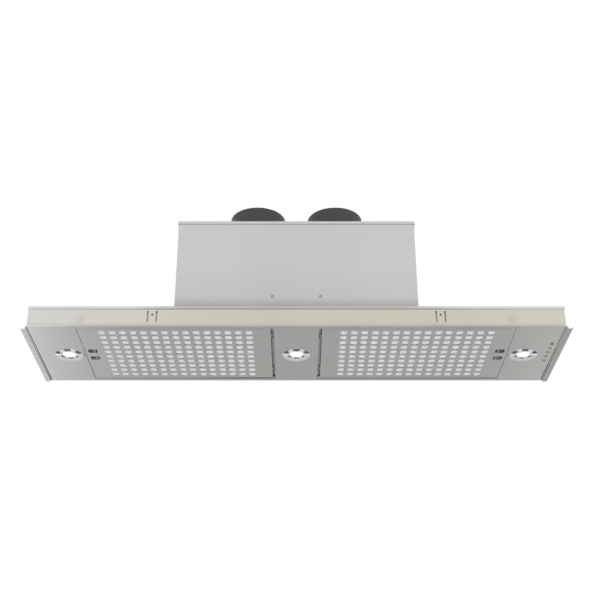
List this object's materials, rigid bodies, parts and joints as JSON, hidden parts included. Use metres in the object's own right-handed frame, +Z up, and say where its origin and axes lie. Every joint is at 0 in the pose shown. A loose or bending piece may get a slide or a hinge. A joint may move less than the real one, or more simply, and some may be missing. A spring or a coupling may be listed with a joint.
{
  "type": "built-in range hood",
  "caption": "Built-in kitchen hood: folded steel canopy with hinged filters, lamps and buttons, blower housing and duct collars.",
  "frame": {"origin": "middle of the base, level with the lower faces of the side flanges", "axes": "+X to the right along the hood's width, -Y to the front, +Z up"},
  "size_m": [1.16, 0.2874, 0.322],
  "materials": {
    "brushed_stainless": "brushed",
    "galvanised_sheet": "dull",
    "aluminium_mesh": "satin",
    "cast_aluminium": "satin",
    "black_plastic": "matte",
    "white_plastic": "satin",
    "lamp_lens": "diffusing",
    "circuit_board": "satin"
  },
  "bodies": {
    "hood": {"canopy_pan": "brushed_stainless", "canopy_top": "brushed_stainless", "side_flange_left": "brushed_stainless", "side_flange_right": "brushed_stainless", "centre_channel": "galvanised_sheet", "end_partitions": "galvanised_sheet", "hinge_brackets": "galvanised_sheet", "front_nuts": "galvanised_sheet", "keeper_left": "galvanised_sheet", "keeper_right": "galvanised_sheet", "motor_housing": "brushed_stainless", "housing_top": "brushed_stainless", "collar_left": "black_plastic", "collar_right": "black_plastic", "damper_pins": "galvanised_sheet", "scroll_left": "galvanised_sheet", "scroll_right": "galvanised_sheet", "scroll_cover_left": "galvanised_sheet", "scroll_cover_right": "galvanised_sheet", "motor_left": "cast_aluminium", "motor_right": "cast_aluminium", "motor_brackets": "galvanised_sheet", "capacitors": "white_plastic", "capacitor_clips": "galvanised_sheet", "control_box": "black_plastic", "control_box_lid": "black_plastic", "control_board": "circuit_board", "cable_gland": "black_plastic", "lamp_trims": "cast_aluminium", "lamp_lenses": "lamp_lens", "lamp_housings": "cast_aluminium", "button_block": "black_plastic", "button_board": "circuit_board", "screws": "galvanised_sheet"},
    "filter_left": {"filter_face_left": "brushed_stainless", "filter_mesh_left": "aluminium_mesh", "filter_back_left": "brushed_stainless", "latch_pocket_left": "black_plastic", "latch_spring_left": "galvanised_sheet"},
    "latch_left": {"latch_slide_left": "galvanised_sheet"},
    "wheel_left": {"impeller_left": "black_plastic", "motor_shaft_left": "galvanised_sheet"},
    "filter_right": {"filter_face_right": "brushed_stainless", "filter_mesh_right": "aluminium_mesh", "filter_back_right": "brushed_stainless", "latch_pocket_right": "black_plastic", "latch_spring_right": "galvanised_sheet"},
    "latch_right": {"latch_slide_right": "galvanised_sheet"},
    "wheel_right": {"impeller_right": "black_plastic", "motor_shaft_right": "galvanised_sheet"},
    "flap_1": {"damper_flap_1": "black_plastic"},
    "flap_2": {"damper_flap_2": "black_plastic"},
    "flap_3": {"damper_flap_3": "black_plastic"},
    "flap_4": {"damper_flap_4": "black_plastic"},
    "button_1": {"button_1": "black_plastic"},
    "button_2": {"button_2": "white_plastic"},
    "button_3": {"button_3": "white_plastic"},
    "button_4": {"button_4": "white_plastic"},
    "button_5": {"button_5": "white_plastic"}
  },
  "joints": [
    {"name": "filter_hinge_left", "type": "hinge", "parent": "hood", "child": "filter_left", "pos_m": [-0.0508, -0.00325, 0.0062], "axis": [0, -1, 0], "range_deg": [0, 60], "deforming": ["keeper_left"]},
    {"name": "latch_left", "type": "slide", "parent": "filter_left", "child": "latch_left", "axis": [1, 0, 0], "range_m": [0, 0.006], "stiffness_N_per_m": 300, "deforming": ["latch_spring_left"]},
    {"name": "wheel_spin_left", "type": "hinge", "parent": "hood", "child": "wheel_left", "pos_m": [-0.0878, 0.021, 0.152], "axis": [-1, 0, 0], "continuous": true},
    {"name": "filter_hinge_right", "type": "hinge", "parent": "hood", "child": "filter_right", "pos_m": [0.0508, -0.00325, 0.0062], "axis": [0, 1, 0], "range_deg": [0, 60], "deforming": ["keeper_right"]},
    {"name": "latch_right", "type": "slide", "parent": "filter_right", "child": "latch_right", "axis": [-1, 0, 0], "range_m": [0, 0.006], "stiffness_N_per_m": 300, "deforming": ["latch_spring_right"]},
    {"name": "wheel_spin_right", "type": "hinge", "parent": "hood", "child": "wheel_right", "pos_m": [0.0878, 0.021, 0.152], "axis": [-1, 0, 0], "continuous": true},
    {"name": "flap_hinge_1", "type": "hinge", "parent": "hood", "child": "flap_1", "pos_m": [-0.0878, -0.038, 0.3], "axis": [0, 1, 0], "range_deg": [0, 78]},
    {"name": "flap_hinge_2", "type": "hinge", "parent": "hood", "child": "flap_2", "pos_m": [-0.0878, -0.038, 0.3], "axis": [0, -1, 0], "range_deg": [0, 78]},
    {"name": "flap_hinge_3", "type": "hinge", "parent": "hood", "child": "flap_3", "pos_m": [0.0878, -0.038, 0.3], "axis": [0, 1, 0], "range_deg": [0, 78]},
    {"name": "flap_hinge_4", "type": "hinge", "parent": "hood", "child": "flap_4", "pos_m": [0.0878, -0.038, 0.3], "axis": [0, -1, 0], "range_deg": [0, 78]},
    {"name": "button_press_1", "type": "slide", "parent": "hood", "child": "button_1", "axis": [0, 0, 1], "range_m": [0, 0.0015], "stiffness_N_per_m": 400, "springref_m": -0.0005},
    {"name": "button_press_2", "type": "slide", "parent": "hood", "child": "button_2", "axis": [0, 0, 1], "range_m": [0, 0.0015], "stiffness_N_per_m": 400, "springref_m": -0.0005},
    {"name": "button_press_3", "type": "slide", "parent": "hood", "child": "button_3", "axis": [0, 0, 1], "range_m": [0, 0.0015], "stiffness_N_per_m": 400, "springref_m": -0.0005},
    {"name": "button_press_4", "type": "slide", "parent": "hood", "child": "button_4", "axis": [0, 0, 1], "range_m": [0, 0.0015], "stiffness_N_per_m": 400, "springref_m": -0.0005},
    {"name": "button_press_5", "type": "slide", "parent": "hood", "child": "button_5", "axis": [0, 0, 1], "range_m": [0, 0.0015], "stiffness_N_per_m": 400, "springref_m": -0.0005}
  ]
}
